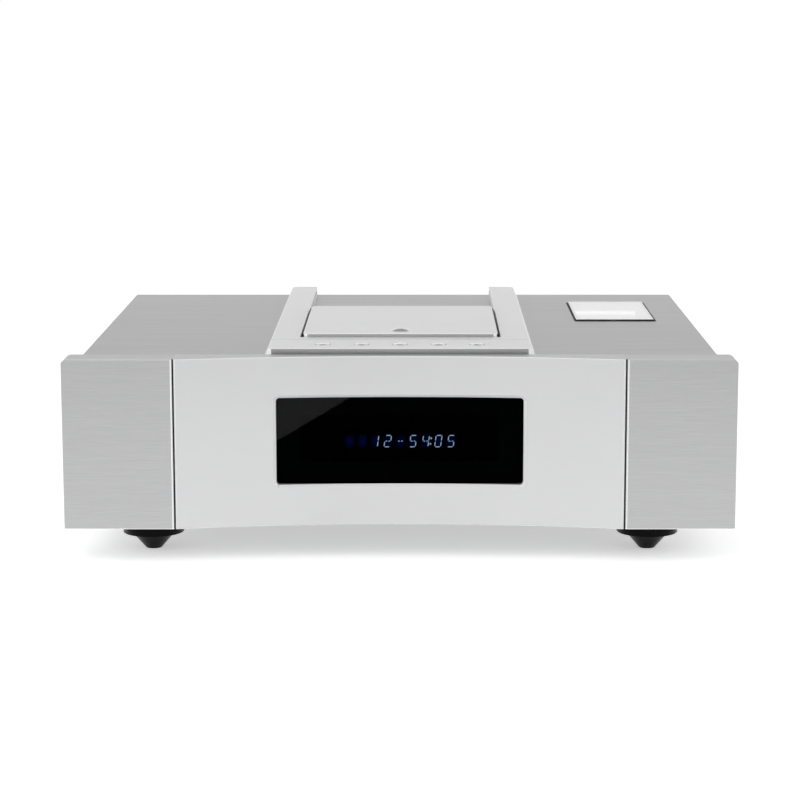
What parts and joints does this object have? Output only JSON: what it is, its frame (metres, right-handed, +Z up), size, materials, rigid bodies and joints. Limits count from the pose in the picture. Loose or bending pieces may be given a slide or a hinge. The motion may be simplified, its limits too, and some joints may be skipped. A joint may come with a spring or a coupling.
{
  "type": "tube cd player",
  "caption": "Top-loading disc player with a hollowed metal front, dark display window, sliding disc lid, top buttons, valve window and cone feet.",
  "frame": {"origin": "under the middle of the whole player, level with the foot tips", "axes": "+X to the right seen from the front, +Y from the front panel to the back, +Z up"},
  "size_m": [0.45, 0.368, 0.1471],
  "materials": {
    "panel_blasted": "bead-blasted, clear anodised",
    "panel_brushed": "brushed lengthwise, clear anodised",
    "case_brushed": "brushed, clear anodised",
    "frame_satin": "satin, clear anodised",
    "case_painted": "matt silver-grey paint",
    "deck_painted": "matt black paint",
    "foot_black": "gloss black",
    "lens_smoked": "smoked, polished",
    "display_glass": "clear, over dark segments",
    "circuit_board": "solder mask",
    "black_plastic": "fine grain",
    "gloss_black": "moulded, glossy",
    "gear_nylon": "natural nylon",
    "socket_ceramic": "glazed",
    "steel": "ground",
    "winding": "amber film over copper",
    "grey_metal": "carbonised",
    "brass": "gold-plated",
    "soft_rubber": "matt",
    "clear_glass": "clear, polished"
  },
  "bodies": {
    "case": {"panel_centre": "panel_blasted", "panel_end_left": "panel_brushed", "panel_end_right": "panel_brushed", "display_lens": "lens_smoked", "display_tube": "display_glass", "display_board": "circuit_board", "front_subframe": "case_painted", "side_left": "case_brushed", "side_right": "case_brushed", "top_cover": "case_brushed", "bottom_plate": "case_painted", "rear_panel": "case_painted", "foot_front_left": "foot_black", "foot_front_right": "foot_black", "foot_rear_left": "foot_black", "foot_rear_right": "foot_black", "guide_frame": "frame_satin", "button_bar": "frame_satin", "button_board": "circuit_board", "disc_well": "black_plastic", "deck_posts": "steel", "deck_grommets": "soft_rubber", "deck_plate": "deck_painted", "spindle_motor": "steel", "guide_rods": "steel", "rod_holders": "black_plastic", "sled_motor": "steel", "tube_window": "clear_glass", "window_gasket": "soft_rubber", "vacuum_tube_front": "clear_glass", "vacuum_tube_rear": "clear_glass", "tube_electrodes": "grey_metal", "tube_sockets": "socket_ceramic", "tube_board": "circuit_board", "main_board": "circuit_board", "power_board": "circuit_board", "board_standoffs": "brass", "transformer": "winding", "transformer_clamp": "steel", "rca_jacks": "brass", "mains_inlet": "black_plastic", "switch_frame": "black_plastic"},
    "lid": {"sliding_lid": "frame_satin", "lid_runners": "black_plastic", "finger_knob": "frame_satin"},
    "button_1": {"button_1": "frame_satin"},
    "button_2": {"button_2": "frame_satin"},
    "button_3": {"button_3": "frame_satin"},
    "button_4": {"button_4": "frame_satin"},
    "button_5": {"button_5": "frame_satin"},
    "spindle": {"spindle_shaft": "steel", "turntable": "black_plastic"},
    "puck": {"clamp_puck": "gloss_black"},
    "sled": {"laser_sled": "black_plastic", "objective_lens": "gloss_black"},
    "sled_gear": {"sled_gear": "gear_nylon"},
    "motor_pinion": {"motor_pinion": "gear_nylon"},
    "fuse_drawer": {"fuse_drawer": "black_plastic"},
    "power_rocker": {"power_rocker": "gloss_black"}
  },
  "joints": [
    {"name": "lid_slide", "type": "slide", "parent": "case", "child": "lid", "axis": [0, 1, 0], "range_m": [0, 0.134]},
    {"name": "button_1_press", "type": "slide", "parent": "case", "child": "button_1", "axis": [0, 0, -1], "range_m": [0, 0.0008], "stiffness_N_per_m": 400, "springref_m": -0.001},
    {"name": "button_2_press", "type": "slide", "parent": "case", "child": "button_2", "axis": [0, 0, -1], "range_m": [0, 0.0008], "stiffness_N_per_m": 400, "springref_m": -0.001},
    {"name": "button_3_press", "type": "slide", "parent": "case", "child": "button_3", "axis": [0, 0, -1], "range_m": [0, 0.0008], "stiffness_N_per_m": 400, "springref_m": -0.001},
    {"name": "button_4_press", "type": "slide", "parent": "case", "child": "button_4", "axis": [0, 0, -1], "range_m": [0, 0.0008], "stiffness_N_per_m": 400, "springref_m": -0.001},
    {"name": "button_5_press", "type": "slide", "parent": "case", "child": "button_5", "axis": [0, 0, -1], "range_m": [0, 0.0008], "stiffness_N_per_m": 400, "springref_m": -0.001},
    {"name": "spindle_spin", "type": "hinge", "parent": "case", "child": "spindle", "pos_m": [0, -0.034, 0.126], "axis": [0, 0, 1], "continuous": true},
    {"name": "puck_lift", "type": "slide", "parent": "spindle", "child": "puck", "axis": [0, 0, 1], "range_m": [0, 0.008]},
    {"name": "sled_slide", "type": "slide", "parent": "case", "child": "sled", "axis": [0, -1, 0], "range_m": [0, 0.035]},
    {"name": "sled_gear_spin", "type": "hinge", "parent": "case", "child": "sled_gear", "pos_m": [-0.0326, -0.084, 0.1046], "axis": [0, 0, 1], "range_deg": [-360, 0]},
    {"name": "motor_pinion_spin", "type": "hinge", "parent": "case", "child": "motor_pinion", "pos_m": [-0.04914, -0.07798, 0.1046], "axis": [0, 0, 1], "range_deg": [0, 956]},
    {"name": "fuse_drawer_slide", "type": "slide", "parent": "case", "child": "fuse_drawer", "axis": [0, 1, 0], "range_m": [0, 0.012]},
    {"name": "power_rocker_turn", "type": "hinge", "parent": "case", "child": "power_rocker", "pos_m": [-0.098, 0.1745, 0.074], "axis": [1, 0, 0], "range_deg": [-20, 0]}
  ],
  "couplings": [
    {"joint": "sled_gear_spin", "follows": "sled_slide", "rad_per_m": -178.57},
    {"joint": "motor_pinion_spin", "follows": "sled_slide", "rad_per_m": 476.19}
  ]
}
